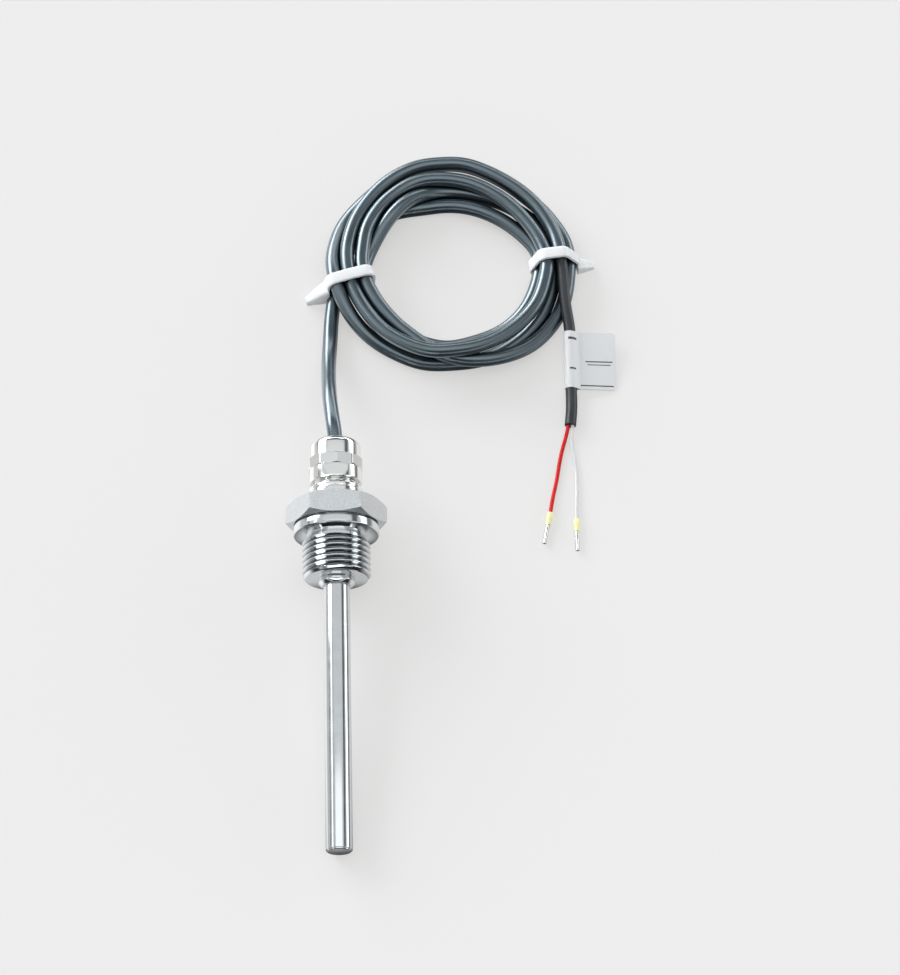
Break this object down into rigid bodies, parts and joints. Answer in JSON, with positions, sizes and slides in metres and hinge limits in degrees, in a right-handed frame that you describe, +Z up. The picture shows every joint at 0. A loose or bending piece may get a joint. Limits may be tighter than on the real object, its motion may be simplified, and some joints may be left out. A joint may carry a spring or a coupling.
{
  "type": "rtd probe with head",
  "caption": "Screw-in resistance temperature probe with a steel tube, pipe thread, hexagon, cable gland and a coiled two-core lead with ferrules.",
  "frame": {"origin": "on the surface that the probe lies on, below the middle of the probe without its cable", "axes": "+Y along the probe from the tip towards the cable, +Z up, +X towards the side of the cable's free end"},
  "size_m": [0.104, 0.2413, 0.0275],
  "materials": {
    "turned_steel": "turned stainless steel, bright",
    "polished_tube": "drawn stainless tube, polished lengthwise",
    "nickel_plate": "nickel-plated brass, bright",
    "ceramic": "ceramic, matte",
    "lead_wire": "bare wire",
    "brass_sleeve": "crimped brass",
    "insulation": "woven sleeve, matte",
    "filling": "heat conducting compound",
    "black_rubber": "matte",
    "clear_plastic": "natural polyamide",
    "cable_jacket": "smooth, glossy",
    "inner_sheath": "smooth, dull",
    "natural_nylon": "natural nylon, satin",
    "label_film": "white film, matte",
    "red_core": "satin",
    "white_core": "satin",
    "ferrule_plastic": "pale yellow, satin",
    "tinned_copper": "tin-plated copper, satin"
  },
  "bodies": {
    "root": {"screw_in_body": "turned_steel", "weld_bush": "turned_steel", "probe_tube": "polished_tube", "tip_cap": "polished_tube", "measuring_element": "ceramic", "element_leads": "lead_wire", "splice_sleeves": "brass_sleeve", "insulating_sleeve": "insulation", "tip_filling": "filling", "inner_core_red": "red_core", "inner_core_white": "white_core", "gland_gasket": "black_rubber", "gland_body": "nickel_plate", "clamping_insert": "clear_plastic", "rubber_seal": "black_rubber", "cap_nut": "nickel_plate", "cable_entry": "cable_jacket", "cable_lead": "cable_jacket", "cable_coil": "cable_jacket", "cable_sheath": "inner_sheath", "tie_left": "natural_nylon", "tie_right": "natural_nylon", "cable_label": "label_film", "core_red": "red_core", "core_white": "white_core", "ferrule_collar_red": "ferrule_plastic", "ferrule_collar_white": "ferrule_plastic", "ferrule_pin_red": "tinned_copper", "ferrule_pin_white": "tinned_copper"}
  },
  "joints": []
}
